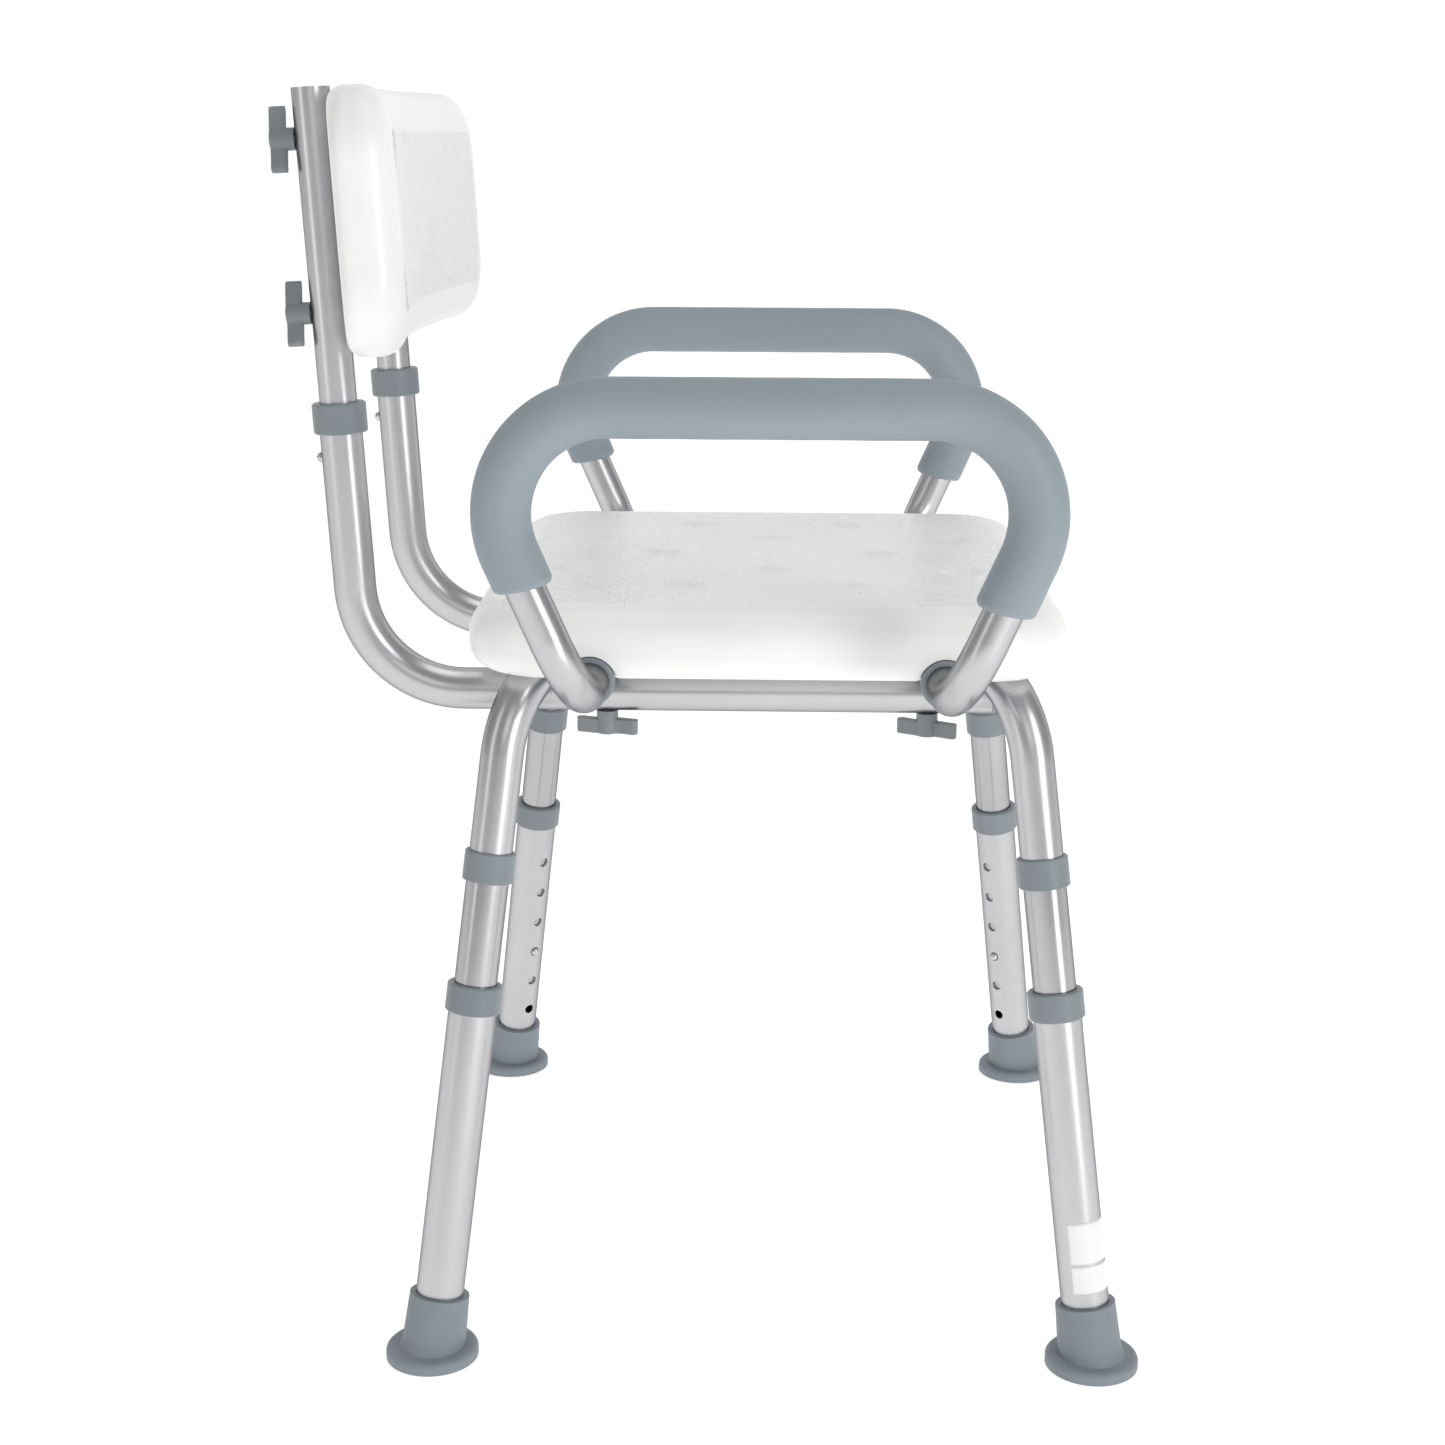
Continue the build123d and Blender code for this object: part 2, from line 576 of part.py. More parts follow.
def all_parts():
    parts = {"seat": seat(), "cross_hub": cross_hub(), "hub_bolt": hub_bolt(), "backrest": backrest()}
    for side, sx in SIDES.items():
        parts[f"side_rail_{side}"] = side_rail(sx)
        parts[f"rail_plug_{side}"] = rail_plug(sx)
        parts[f"back_collar_{side}"] = back_collar(sx)
        parts[f"back_upright_{side}"] = upright(sx)
        parts[f"back_button_{side}"] = back_button(sx)
        parts[f"back_knob_lower_{side}"] = back_knob(sx, BACK_KNOB_Z[0])
        parts[f"back_knob_upper_{side}"] = back_knob(sx, BACK_KNOB_Z[1])
        parts[f"arm_tube_{side}"] = arm_tube(sx)
        parts[f"arm_foam_{side}"] = arm_foam(sx)
        for end, sy in ENDS.items():
            place = leg_frame(sx, sy)
            tag = f"{end}_{side}"
            parts[f"leg_frame_tube_{tag}"] = leg_frame_tube(sx, sy)
            parts[f"upper_collar_{tag}"] = place * upper_collar()
            parts[f"leg_insert_{tag}"] = place * leg_insert()
            parts[f"lower_leg_{tag}"] = place * lower_leg()
            parts[f"lower_collar_{tag}"] = place * lower_collar()
            parts[f"leg_button_{tag}"] = place * leg_button()
            parts[f"foot_{tag}"] = foot(sx, sy)
            parts[f"arm_socket_{tag}"] = arm_socket(sx, sy)
            parts[f"under_knob_{tag}"] = under_knob(sx, sy)
    return parts


def main():
    parts = all_parts()
    boxes = [shape.bounding_box() for shape in parts.values()]
    mid_x = (min(b.min.X for b in boxes) + max(b.max.X for b in boxes)) / 2
    mid_y = (min(b.min.Y for b in boxes) + max(b.max.Y for b in boxes)) / 2
    shift = Pos(-mid_x, -mid_y, -min(b.min.Z for b in boxes))
    os.makedirs("parts", exist_ok=True)
    for name, shape in parts.items():
        export_step(shift * shape, f"parts/{name}.step")


main()
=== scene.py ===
import json
import math

import bpy
import numpy as np
from mathutils import Matrix, Vector


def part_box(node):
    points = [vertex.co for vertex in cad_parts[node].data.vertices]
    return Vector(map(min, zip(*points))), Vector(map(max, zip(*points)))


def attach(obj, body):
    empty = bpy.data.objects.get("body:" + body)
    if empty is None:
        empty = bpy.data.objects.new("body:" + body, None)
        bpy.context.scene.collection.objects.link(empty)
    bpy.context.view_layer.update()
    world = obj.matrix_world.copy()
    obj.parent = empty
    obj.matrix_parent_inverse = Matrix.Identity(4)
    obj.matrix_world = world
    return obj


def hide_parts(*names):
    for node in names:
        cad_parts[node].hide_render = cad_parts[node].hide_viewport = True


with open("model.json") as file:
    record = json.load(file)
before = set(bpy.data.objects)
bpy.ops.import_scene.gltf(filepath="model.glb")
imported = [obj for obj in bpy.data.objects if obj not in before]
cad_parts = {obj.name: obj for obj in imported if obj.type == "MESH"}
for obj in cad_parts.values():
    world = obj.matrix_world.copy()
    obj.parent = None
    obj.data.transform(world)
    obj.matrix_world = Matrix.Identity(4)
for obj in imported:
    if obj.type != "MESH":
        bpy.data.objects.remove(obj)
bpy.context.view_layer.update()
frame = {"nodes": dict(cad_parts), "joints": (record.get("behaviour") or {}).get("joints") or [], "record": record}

SIDES = ("left", "right")


# ---------------------------------------------------------------- meshes


def sheet_mesh(name, grid, wrap=False, uv=None):
    """Quads over a grid of points (rows, columns, 3); wrap joins the last column to the first."""
    rows, cols = grid.shape[:2]
    index = np.arange(rows * cols).reshape(rows, cols)
    if wrap:
        index = np.concatenate([index, index[:, :1]], axis=1)
    quads = np.stack([index[:-1, :-1], index[:-1, 1:], index[1:, 1:], index[1:, :-1]], axis=-1)
    quads = quads.reshape(-1, 4)
    mesh = bpy.data.meshes.new(name)
    mesh.from_pydata(grid.reshape(-1, 3).tolist(), [], quads.tolist())
    if uv is not None:
        if wrap:
            uv = np.concatenate([uv, uv[:, :1] + np.array([1.0, 0.0])], axis=1)
        corner = np.stack([uv[:-1, :-1], uv[:-1, 1:], uv[1:, 1:], uv[1:, :-1]], axis=-2)
        layer = mesh.uv_layers.new(name="surface")
        layer.data.foreach_set("uv", corner.reshape(-1).astype(np.float32))
    mesh.shade_smooth()
    mesh.validate()
    return mesh


def add_piece(name, mesh, material, body, replaces=()):
    piece = bpy.data.objects.new(name, mesh)
    bpy.context.scene.collection.objects.link(piece)
    mesh.materials.append(material)
    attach(piece, body)
    if replaces:
        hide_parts(*replaces)
    return piece


# ---------------------------------------------------------------- materials


def new_group(name, inputs, outputs):
    group = bpy.data.node_groups.new(name, "ShaderNodeTree")
    for label, kind, value in inputs:
        socket = group.interface.new_socket(label, in_out="INPUT", socket_type=kind)
        if value is not None:
            socket.default_value = value
    for label, kind in outputs:
        group.interface.new_socket(label, in_out="OUTPUT", socket_type=kind)
    start = group.nodes.new("NodeGroupInput")
    end = group.nodes.new("NodeGroupOutput")
    return group, start, end


def add_node(tree, kind, settings=None, **inputs):
    """A node with its sockets set or linked: i0, i1 are sockets by number, other words are sockets by name."""
    node = tree.nodes.new(kind)
    for key, value in (settings or {}).items():
        setattr(node, key, value)
    for key, value in inputs.items():
        numbered = key[0] == "i" and key[1:].isdigit()
        socket = node.inputs[int(key[1:]) if numbered else key.replace("_", " ")]
        if isinstance(value, bpy.types.NodeSocket):
            tree.links.new(value, socket)
        else:
            socket.default_value = value
    return node


def mottle_group():
    """Colour and roughness that wander slowly over a surface, as in moulded or drawn stock."""
    group, start, end = new_group(
        "mottle",
        [("Vector", "NodeSocketVector", None), ("Scale", "NodeSocketFloat", 12.0),
         ("Dark", "NodeSocketColor", (0.5, 0.5, 0.5, 1)), ("Light", "NodeSocketColor", (0.6, 0.6, 0.6, 1)),
         ("Rough Low", "NodeSocketFloat", 0.3), ("Rough High", "NodeSocketFloat", 0.4)],
        [("Color", "NodeSocketColor"), ("Roughness", "NodeSocketFloat")])
    noise = add_node(group, "ShaderNodeTexNoise", Vector=start.outputs["Vector"], Scale=start.outputs["Scale"],
                     Detail=5.0, Roughness=0.55)
    ramp = add_node(group, "ShaderNodeMapRange", Value=noise.outputs["Fac"], From_Min=0.3, From_Max=0.7)
    mix = add_node(group, "ShaderNodeMix", {"data_type": "RGBA"}, i0=ramp.outputs["Result"],
                   i6=start.outputs["Dark"], i7=start.outputs["Light"])
    rough = add_node(group, "ShaderNodeMapRange", Value=noise.outputs["Fac"], From_Min=0.3, From_Max=0.7,
                     To_Min=start.outputs["Rough Low"], To_Max=start.outputs["Rough High"])
    group.links.new(mix.outputs[2], end.inputs["Color"])
    group.links.new(rough.outputs["Result"], end.inputs["Roughness"])
    return group


def skin_group():
    """Fine height of a moulded skin: small cells with soft pores between them."""
    group, start, end = new_group(
        "skin",
        [("Vector", "NodeSocketVector", None), ("Cells", "NodeSocketFloat", 400.0),
         ("Wander", "NodeSocketFloat", 120.0), ("Wander Share", "NodeSocketFloat", 0.5)],
        [("Height", "NodeSocketFloat")])
    cells = add_node(group, "ShaderNodeTexVoronoi", {"feature": "SMOOTH_F1"}, Vector=start.outputs["Vector"],
                     Scale=start.outputs["Cells"], Smoothness=0.4)
    noise = add_node(group, "ShaderNodeTexNoise", Vector=start.outputs["Vector"], Scale=start.outputs["Wander"],
                     Detail=4.0)
    mix = add_node(group, "ShaderNodeMix", {"data_type": "FLOAT"}, i0=start.outputs["Wander Share"],
                   i2=cells.outputs["Distance"], i3=noise.outputs["Fac"])
    group.links.new(mix.outputs[0], end.inputs["Height"])
    return group


def drawn_group():
    """Lines left along a drawn tube, from noise stretched along one axis of the given vector."""
    group, start, end = new_group(
        "drawn lines",
        [("Vector", "NodeSocketVector", None), ("Fineness", "NodeSocketFloat", 900.0)],
        [("Height", "NodeSocketFloat")])
    scale = add_node(group, "ShaderNodeVectorMath", {"operation": "MULTIPLY"}, i0=start.outputs["Vector"],
                     i1=(1.0, 1.0, 0.02))
    noise = add_node(group, "ShaderNodeTexNoise", Vector=scale.outputs[0], Scale=start.outputs["Fineness"],
                     Detail=3.0)
    group.links.new(noise.outputs["Fac"], end.inputs["Height"])
    return group


def region_group():
    """Mask of a soft-edged box: 1 inside, falling to 0 over Soft metres outside, by the largest of |v - c| - h."""
    group, start, end = new_group(
        "region",
        [("Vector", "NodeSocketVector", None), ("Centre", "NodeSocketVector", (0, 0, 0)),
         ("Half", "NodeSocketVector", (1, 1, 1)), ("Soft", "NodeSocketFloat", 0.004)],
        [("Mask", "NodeSocketFloat")])
    offset = add_node(group, "ShaderNodeVectorMath", {"operation": "SUBTRACT"}, i0=start.outputs["Vector"],
                      i1=start.outputs["Centre"])
    away = add_node(group, "ShaderNodeVectorMath", {"operation": "ABSOLUTE"}, i0=offset.outputs[0])
    over = add_node(group, "ShaderNodeVectorMath", {"operation": "SUBTRACT"}, i0=away.outputs[0],
                    i1=start.outputs["Half"])
    axes = add_node(group, "ShaderNodeSeparateXYZ", i0=over.outputs[0])
    first = add_node(group, "ShaderNodeMath", {"operation": "MAXIMUM"}, i0=axes.outputs[0], i1=axes.outputs[1])
    most = add_node(group, "ShaderNodeMath", {"operation": "MAXIMUM"}, i0=first.outputs[0], i1=axes.outputs[2])
    fade = add_node(group, "ShaderNodeMapRange", {"interpolation_type": "SMOOTHSTEP"}, Value=most.outputs[0],
                    From_Min=0.0, From_Max=start.outputs["Soft"], To_Min=1.0, To_Max=0.0)
    group.links.new(fade.outputs["Result"], end.inputs["Mask"])
    return group


def hide_group():
    """Height of a leather-like skin: ridges between stretched cells, broken up by finer noise."""
    group, start, end = new_group(
        "hide",
        [("Vector", "NodeSocketVector", None), ("Scale", "NodeSocketFloat", 220.0)],
        [("Height", "NodeSocketFloat")])
    drift = add_node(group, "ShaderNodeTexNoise", Vector=start.outputs["Vector"], Scale=90.0, Detail=2.0)
    moved = add_node(group, "ShaderNodeVectorMath", {"operation": "MULTIPLY_ADD"}, i0=drift.outputs["Color"],
                     i1=(0.012, 0.012, 0.012), i2=start.outputs["Vector"])
    cells = add_node(group, "ShaderNodeTexVoronoi", {"feature": "DISTANCE_TO_EDGE"}, Vector=moved.outputs[0],
                     Scale=start.outputs["Scale"])
    ridge = add_node(group, "ShaderNodeMapRange", {"interpolation_type": "SMOOTHSTEP"},
                     Value=cells.outputs["Distance"], From_Min=0.0, From_Max=0.3, To_Min=1.0, To_Max=0.0)
    fine = add_node(group, "ShaderNodeTexNoise", Vector=start.outputs["Vector"], Scale=420.0, Detail=3.0)
    mix = add_node(group, "ShaderNodeMix", {"data_type": "FLOAT"}, i0=0.5, i2=ridge.outputs["Result"],
                   i3=fine.outputs["Fac"])
    group.links.new(mix.outputs[0], end.inputs["Height"])
    return group


MOTTLE = mottle_group()
SKIN = skin_group()
DRAWN = drawn_group()
REGION = region_group()
HIDE = hide_group()


def new_material(name):
    material = bpy.data.materials.new(name)
    material.use_nodes = True
    tree = material.node_tree
    shader = tree.nodes["Principled BSDF"]
    place = tree.nodes.new("ShaderNodeTexCoord")
    return material, tree, shader, place.outputs["Object"]


def put_group(tree, group, **inputs):
    node = tree.nodes.new("ShaderNodeGroup")
    node.node_tree = group
    for key, value in inputs.items():
        socket = node.inputs[key.replace("_", " ")]
        if isinstance(value, bpy.types.NodeSocket):
            tree.links.new(value, socket)
        else:
            socket.default_value = value
    return node


def put_bump(tree, height, strength, distance, under=None):
    bump = add_node(tree, "ShaderNodeBump", Strength=strength, Distance=distance, Height=height)
    if under is not None:
        tree.links.new(under, bump.inputs["Normal"])
    return bump.outputs["Normal"]


METAL_MOTTLE = 14.0
METAL_EDGE_SHADE = (0.3, 0.31, 0.32, 1)      # dark tint at grazing angles: painted shade on the tube edges, standing in for dark surroundings to reflect


def metal(name, dark, light, rough, line_strength):
    material, tree, shader, place = new_material(name)
    shader.inputs["Metallic"].default_value = 1.0
    tone = put_group(tree, MOTTLE, Vector=place, Scale=METAL_MOTTLE, Dark=dark, Light=light,
                     Rough_Low=rough[0], Rough_High=rough[1])
    tree.links.new(tone.outputs["Color"], shader.inputs["Base Color"])
    tree.links.new(tone.outputs["Roughness"], shader.inputs["Roughness"])
    lines = put_group(tree, DRAWN, Vector=place)
    tree.links.new(put_bump(tree, lines.outputs["Height"], line_strength, 0.0001), shader.inputs["Normal"])
    # Darkened grazing tint: painted shade along the tube edges.
    shader.inputs["Specular Tint"].default_value = METAL_EDGE_SHADE
    return material


def plastic(name, dark, light, rough, cells, grain, depth):
    material, tree, shader, place = new_material(name)
    tone = put_group(tree, MOTTLE, Vector=place, Scale=9.0, Dark=dark, Light=light,
                     Rough_Low=rough[0], Rough_High=rough[1])
    tree.links.new(tone.outputs["Color"], shader.inputs["Base Color"])
    tree.links.new(tone.outputs["Roughness"], shader.inputs["Roughness"])
    skin = put_group(tree, SKIN, Vector=place, Cells=cells, Wander=cells * 0.3, Wander_Share=0.5)
    tree.links.new(put_bump(tree, skin.outputs["Height"], grain, depth), shader.inputs["Normal"])
    return material


def white_shell(name, centre, half, smooth_side, grained_top):
    """White moulded shell, plain outside a region and with a leather grain inside it."""
    material, tree, shader, place = new_material(name)
    mask = put_group(tree, REGION, Vector=place, Centre=centre, Half=half, Soft=0.0025).outputs["Mask"]
    side = put_group(tree, MOTTLE, Vector=place, Scale=7.0, Dark=smooth_side[0], Light=smooth_side[1],
                     Rough_Low=0.30, Rough_High=0.38)
    top = put_group(tree, MOTTLE, Vector=place, Scale=11.0, Dark=grained_top[0], Light=grained_top[1],
                    Rough_Low=0.26, Rough_High=0.36)
    for label, output, kind in (("Base Color", "Color", "RGBA"), ("Roughness", "Roughness", "FLOAT")):
        first, second, result = (6, 7, 2) if kind == "RGBA" else (2, 3, 0)
        mix = tree.nodes.new("ShaderNodeMix")
        mix.data_type = kind
        tree.links.new(mask, mix.inputs[0])
        tree.links.new(side.outputs[output], mix.inputs[first])
        tree.links.new(top.outputs[output], mix.inputs[second])
        tree.links.new(mix.outputs[result], shader.inputs[label])
    grain = put_group(tree, HIDE, Vector=place)
    shown = add_node(tree, "ShaderNodeMath", {"operation": "MULTIPLY"}, i0=grain.outputs["Height"], i1=mask)
    skin = put_group(tree, SKIN, Vector=place, Cells=260.0, Wander=60.0, Wander_Share=0.7)
    plain = put_bump(tree, skin.outputs["Height"], 0.15, 0.0003)
    tree.links.new(put_bump(tree, shown.outputs[0], 0.9, 0.0009, plain), shader.inputs["Normal"])
    return material


def box_middle(node):
    low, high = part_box(node)
    return (low + high) / 2, (high - low) / 2


def seat_shell():
    centre, half = box_middle("seat")
    rim = 0.024
    return white_shell("white seat shell", (centre.x, centre.y, centre.z + half.z),
                       (half.x - rim, half.y - rim, 0.0012),
                       ((0.89, 0.89, 0.865, 1), (0.92, 0.92, 0.90, 1)),
                       ((0.89, 0.89, 0.89, 1), (0.93, 0.93, 0.93, 1)))


def back_shell():
    centre, half = box_middle("backrest")
    rim = 0.027
    # The grained panel gets a darker white than the smooth rim of the same plastic: painted shade on the panel.
    return white_shell("white back shell", tuple(centre), (half.x - rim, half.y + 0.01, half.z - rim),
                       ((0.88, 0.885, 0.87, 1), (0.915, 0.92, 0.905, 1)),
                       ((0.82, 0.83, 0.825, 1), (0.855, 0.865, 0.86, 1)))


def grey(value, blue=0.0):
    return (value, value, value + blue, 1.0)


satin_aluminium = metal("satin aluminium", grey(0.52, blue=0.014), grey(0.56, blue=0.014), (0.28, 0.32), 0.05)
bright_aluminium = metal("bright aluminium", grey(0.43, blue=0.012), grey(0.48, blue=0.012), (0.20, 0.24), 0.05)
button_steel = metal("button steel", grey(0.55), grey(0.68), (0.12, 0.2), 0.1)
bolt_steel = metal("bolt steel", grey(0.4), grey(0.5), (0.3, 0.4), 0.2)
grey_fitting = plastic("grey fitting", (0.205, 0.235, 0.255, 1), (0.235, 0.265, 0.285, 1),
                       (0.40, 0.5), 900.0, 0.25, 0.0002)
grey_knob = plastic("grey knob", (0.20, 0.225, 0.24, 1), (0.235, 0.26, 0.275, 1),
                    (0.42, 0.52), 900.0, 0.25, 0.0002)
grey_rubber = plastic("grey rubber", (0.215, 0.25, 0.28, 1), (0.25, 0.285, 0.315, 1),
                      (0.55, 0.68), 1100.0, 0.35, 0.0002)
grip_foam = plastic("grip foam", (0.255, 0.303, 0.338, 1), (0.285, 0.333, 0.368, 1),
                    (0.52, 0.62), 1500.0, 0.5, 0.0002)

label_film = plastic("label film", (0.87, 0.87, 0.88, 1), (0.9, 0.9, 0.91, 1),
                     (0.3, 0.36), 500.0, 0.1, 0.0001)

FINISH = {
    "seat_plastic": seat_shell(), "grey_plastic": grey_fitting, "knob_plastic": grey_knob, "foam": grip_foam,
    "foot_rubber": grey_rubber, "tube_aluminium": satin_aluminium, "insert_aluminium": bright_aluminium,
    "button_steel": button_steel, "bolt_steel": bolt_steel,
}


def finish_cad_nodes():
    slots = {entry["node"]: entry["material_slot"] for entry in frame["record"]["subparts"]}
    for name, node in frame["nodes"].items():
        node.data.materials.clear()
        node.data.materials.append(FINISH[slots[name]])
    frame["nodes"]["backrest"].data.materials[0] = back_shell()


finish_cad_nodes()


# ---------------------------------------------------------------- grips

GRIP_BEND = 0.057
GRIP_LEAN = math.radians(23.7)
GRIP_EDGE = 0.0035
GRIP_SLIP = 0.011      # the rear end stands this much higher than the front end
GRIP_SKEW = 0.0026     # the cut ends stand this far off square


def grip_line(low, high):
    """Centre line of a grip in its upright plane and the unit normals beside it.

    Straight legs lean in towards the bottom and an arc turns each into the level top run. The front leg is the rear
    one mirrored, and the rear one is cut off higher."""
    radius = (high.x - low.x) / 2
    top = high.z - radius
    reach = (high.y - low.y) / 2 - radius
    hub = np.array([reach - GRIP_BEND, top - GRIP_BEND])
    angle = np.linspace(-GRIP_LEAN, math.pi / 2, 64)
    out = np.stack([np.cos(angle), np.sin(angle)], axis=1)
    arc = hub + GRIP_BEND * out
    share = np.linspace(1, 0, 16)[:-1, None]
    level = np.linspace(hub[0], 0, 24)[1:]
    level = np.stack([level, np.full_like(level, top)], axis=1)
    beside = np.concatenate([np.repeat(out[:1], len(share), 0), out, np.repeat([[0.0, 1.0]], len(level), 0)])
    halves = []
    for end_z in (low.z + radius * math.sin(GRIP_LEAN), low.z + radius * math.sin(GRIP_LEAN) + GRIP_SLIP):
        run = (arc[0, 1] - end_z) / math.cos(GRIP_LEAN)
        leg = arc[0] - share * run * np.array([math.sin(GRIP_LEAN), math.cos(GRIP_LEAN)])
        halves.append(np.concatenate([leg, arc, level]))
    front, rear = halves
    mirror = np.array([-1.0, 1.0])
    line = np.concatenate([rear, front[-2::-1] * mirror])
    normal = np.concatenate([beside, beside[-2::-1] * mirror])
    line[:, 0] += (high.y + low.y) / 2
    return line, normal


def grip_mesh(side):
    """A foam sleeve: circles carried along the grip line, with rolled ends that turn in to the tube.

    Near an end at distance d the radius is R - e + sqrt(e^2 - (e - d)^2), a quarter circle of edge radius e. The
    outer side of each end is pushed on by k cos(turn) exp(-d / 12 mm), so the cut stands off square, and the foam
    swells by a hundredth between shallow rings where it was squeezed on."""
    low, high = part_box(f"arm_foam_{side}")
    tube_low, tube_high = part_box(f"back_upright_{side}")
    tube = (tube_high.x - tube_low.x) / 2
    line, normal = grip_line(low, high)
    mid_x = (high.x + low.x) / 2
    radius = (high.x - low.x) / 2 - 0.0001
    step = np.linalg.norm(np.diff(line, axis=0), axis=1)
    along = np.concatenate([[0], np.cumsum(step)])
    extra = np.array([0.0, 0.0002, 0.0005, 0.001, 0.0018, 0.0026, GRIP_EDGE])
    stops = np.unique(np.concatenate([along, extra, along[-1] - extra]))
    line = np.stack([np.interp(stops, along, line[:, k]) for k in (0, 1)], axis=1)
    normal = np.stack([np.interp(stops, along, normal[:, k]) for k in (0, 1)], axis=1)
    normal /= np.linalg.norm(normal, axis=1, keepdims=True)
    ahead = np.gradient(line, axis=0)
    ahead /= np.linalg.norm(ahead, axis=1, keepdims=True)
    near = np.clip(np.minimum(stops, stops[-1] - stops), 0, GRIP_EDGE)
    size = radius - GRIP_EDGE + np.sqrt(GRIP_EDGE**2 - (GRIP_EDGE - near) ** 2)
    size *= 1 - 0.006 * (0.5 + 0.5 * np.cos(stops * 150)) * (near / GRIP_EDGE)
    turn = np.linspace(0, 2 * math.pi, 72, endpoint=False)
    reach = size[:, None] * np.ones_like(turn)
    inner = np.full((1, len(turn)), tube - 0.0001)
    reach = np.concatenate([inner, reach, inner])
    line, normal, ahead = (np.concatenate([a[:1], a, a[-1:]]) for a in (line, normal, ahead))
    stops = np.concatenate([[0], stops, [stops[-1]]])
    lead = np.exp(-(stops[-1] - stops) / 0.012) - np.exp(-stops / 0.012)
    push = -GRIP_SKEW * lead[:, None] * np.cos(turn)
    y = line[:, :1] + normal[:, :1] * reach * np.cos(turn) + ahead[:, :1] * push
    z = line[:, 1:] + normal[:, 1:] * reach * np.cos(turn) + ahead[:, 1:] * push
    x = mid_x + reach * np.sin(turn)
    grid = np.stack([x, y, z], axis=-1)
    uv = np.stack(np.broadcast_arrays(turn[None, :] / (2 * math.pi), stops[:, None]), axis=-1)
    return sheet_mesh(f"grip_{side}", grid, wrap=True, uv=uv)


def make_grips():
    for side in SIDES:
        mesh = grip_mesh(side)
        piece = add_piece(f"grip_{side}", mesh, grip_foam, f"arm_{side}", [f"arm_foam_{side}"])


make_grips()


# ---------------------------------------------------------------- labels


LEG_RADIUS = 0.0143


def label_mesh(name, place, up, radius, turn, height):
    """A film wrapped on a tube: an arc strip of the tube's cylinder, with its border turned down on to the metal."""
    toward = Vector((-1, 0, 0))
    toward = (toward - toward.dot(up) * up).normalized()
    ahead = up.cross(toward)
    angle = np.linspace(turn[0], turn[1], 40)
    along = np.linspace(height[0], height[1], 12)
    angle = np.concatenate([angle[:1], angle, angle[-1:]])
    along = np.concatenate([along[:1], along, along[-1:]])
    lift = np.full((len(along), len(angle)), radius + 0.00012)
    lift[[0, -1], :] = radius - 0.00005
    lift[:, [0, -1]] = radius - 0.00005
    spin = np.cos(angle)[:, None] * np.array(toward) + np.sin(angle)[:, None] * np.array(ahead)
    grid = np.array(place) + along[:, None, None] * np.array(up) + lift[:, :, None] * spin[None]
    return sheet_mesh(name, grid)


def make_labels():
    """Two blank labels, one over the other, low on the near front leg."""
    joint = next(j for j in frame["joints"] if j["name"] == "leg_front_left_extend")
    mount = next(m for m in frame["record"]["mounts"] if m["name"] == "foot_face_front_left")
    up = -Vector(joint["axis"]).normalized()
    for name, height in (("label_upper", (0.0655, 0.0905)), ("label_lower", (0.0475, 0.0640))):
        mesh = label_mesh(name, mount["pos_m"], up, LEG_RADIUS, (-0.54, 1.75), height)
        add_piece(name, mesh, label_film, "leg_front_left")


make_labels()


# ---------------------------------------------------------------- room


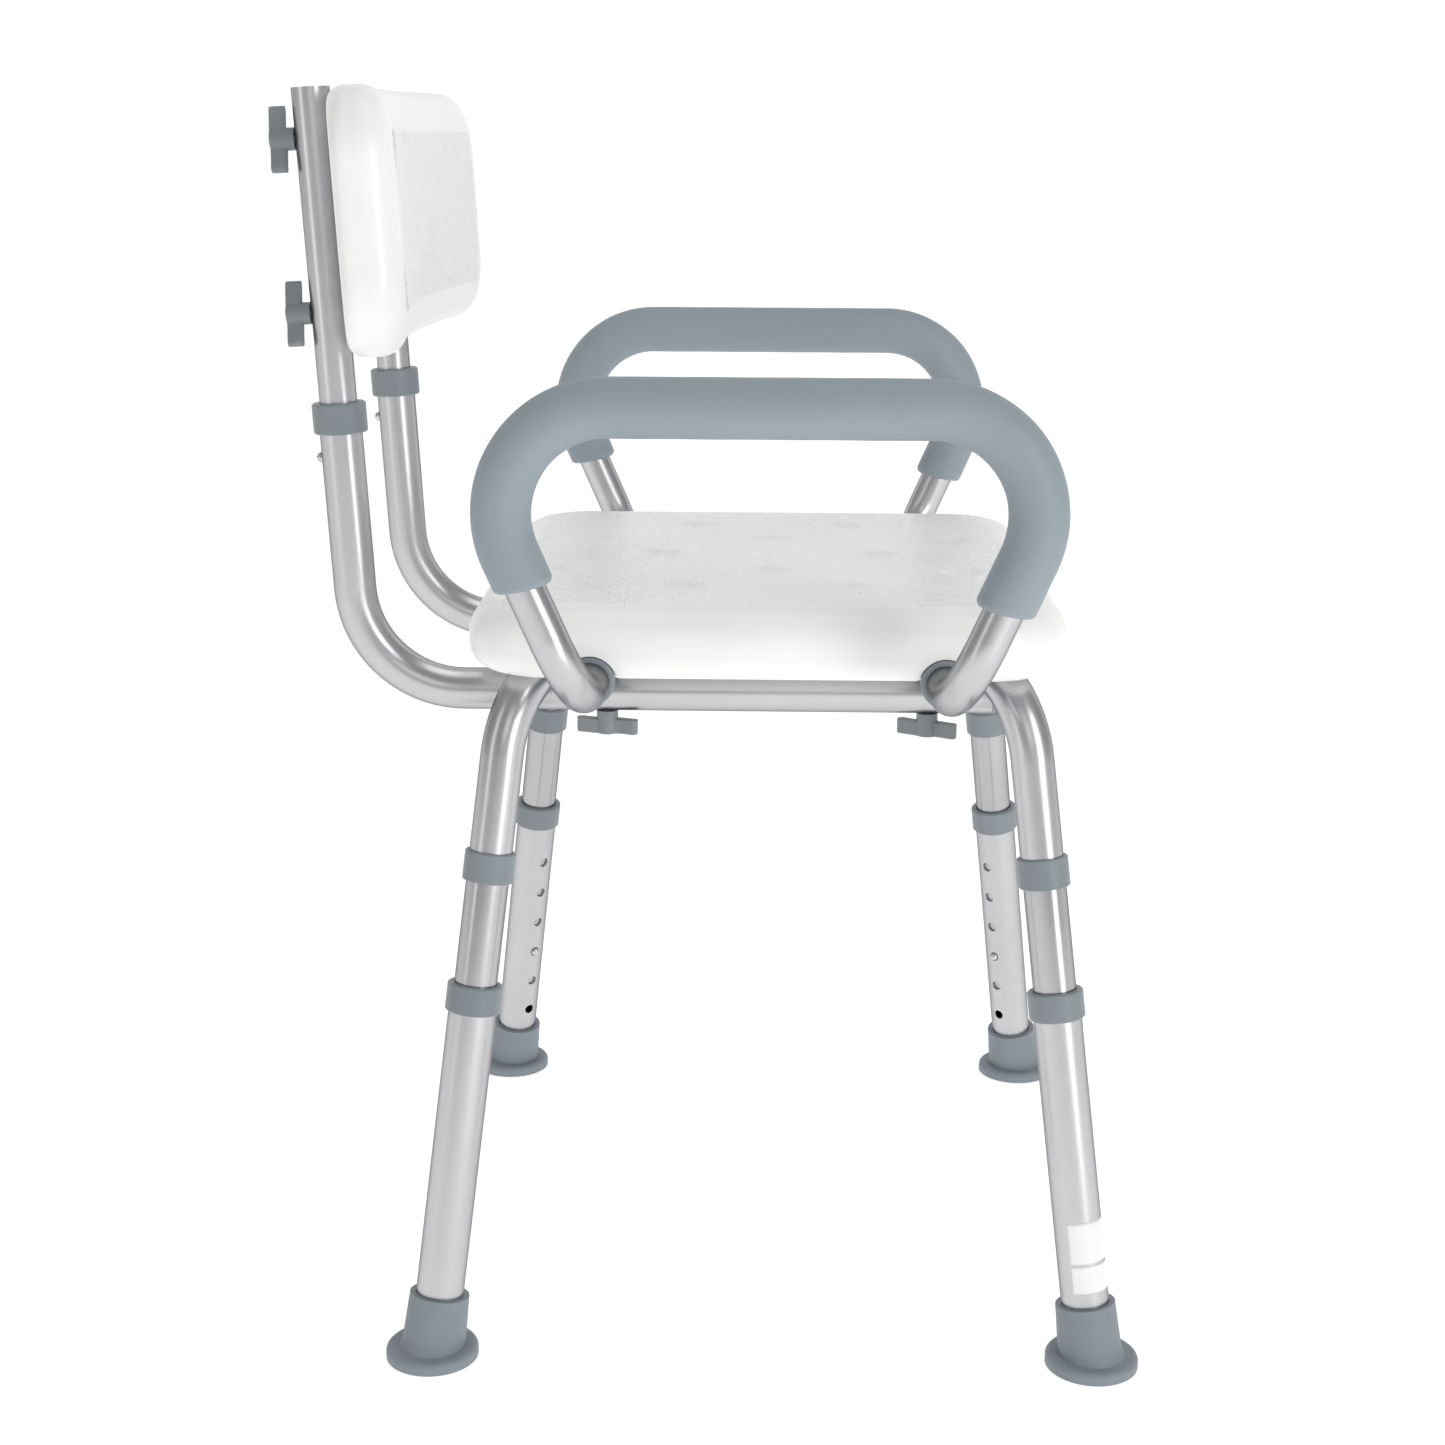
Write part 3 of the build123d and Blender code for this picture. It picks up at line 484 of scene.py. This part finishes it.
def make_floor():
    """Pale floor that sweeps up into a wall far behind the chair."""
    bend = np.linspace(0, math.pi / 2, 12)
    run = np.concatenate([[-9.0], 4.0 + 3.0 * np.sin(bend), [7.0]])
    rise = np.concatenate([[0.0], 3.0 - 3.0 * np.cos(bend), [9.0]]) - 0.0004
    across = np.array([-12.0, 0.0, 12.0])
    grid = np.stack(np.broadcast_arrays(run[:, None], -across[None, :], rise[:, None]), axis=-1)
    material, tree, shader, place = new_material("pale floor")
    shader.inputs["Base Color"].default_value = (0.86, 0.86, 0.86, 1)
    shader.inputs["Roughness"].default_value = 0.9
    shader.inputs["Specular IOR Level"].default_value = 0.1
    shader.inputs["Emission Color"].default_value = (1, 1, 1, 1)
    shader.inputs["Emission Strength"].default_value = 0.56
    floor = bpy.data.objects.new("floor", sheet_mesh("floor", grid))
    bpy.context.scene.collection.objects.link(floor)
    floor.data.materials.append(material)


def soft_light(name, place, aim, size, power):
    data = bpy.data.lights.new(name, "AREA")
    data.shape = "RECTANGLE"
    data.size, data.size_y = size
    data.energy = power
    light = bpy.data.objects.new(name, data)
    light.location = place
    light.rotation_euler = (Vector(aim) - Vector(place)).to_track_quat("-Z", "Y").to_euler()
    bpy.context.scene.collection.objects.link(light)


def make_room():
    make_floor()
    world = bpy.data.worlds.new("studio")
    world.use_nodes = True
    back = world.node_tree.nodes["Background"]
    back.inputs["Color"].default_value = (1, 1, 1, 1)
    back.inputs["Strength"].default_value = 0.39
    bpy.context.scene.world = world
    soft_light("overhead", (0.1, 0.0, 2.6), (0, 0, 0.4), (1.6, 1.6), 10)
    soft_light("window rear", (-1.5, 2.0, 1.1), (0, 0, 0.45), (0.5, 1.9), 4)
    soft_light("window front", (-1.9, -1.7, 1.0), (0, 0, 0.4), (0.8, 1.9), 21)
    soft_light("side", (-2.6, -0.1, 1.3), (0, 0, 0.45), (1.0, 1.0), 3)


def make_camera():
    """Camera on the chair's left, a little above seat height, looking across and down."""
    data = bpy.data.cameras.new("camera")
    data.sensor_width = 36.0
    data.lens = 57.3
    data.clip_end = 30.0
    camera = bpy.data.objects.new("camera", data)
    dip = 0.2493
    swing = 0.0185
    roll = 0.0049
    ahead = Vector((math.cos(swing) * math.cos(dip), math.sin(swing) * math.cos(dip), -math.sin(dip)))
    side = ahead.cross(Vector((0, 0, 1))).normalized()
    up = side.cross(ahead)
    right = math.cos(roll) * side + math.sin(roll) * up
    top = -math.sin(roll) * side + math.cos(roll) * up
    turn = Matrix((right, top, -ahead)).transposed()
    camera.matrix_world = Matrix.Translation((-1.4661, -0.0307, 0.7092)) @ turn.to_4x4()
    bpy.context.scene.collection.objects.link(camera)
    bpy.context.scene.camera = camera


make_room()
make_camera()
bpy.context.scene.view_settings.view_transform = "Standard"
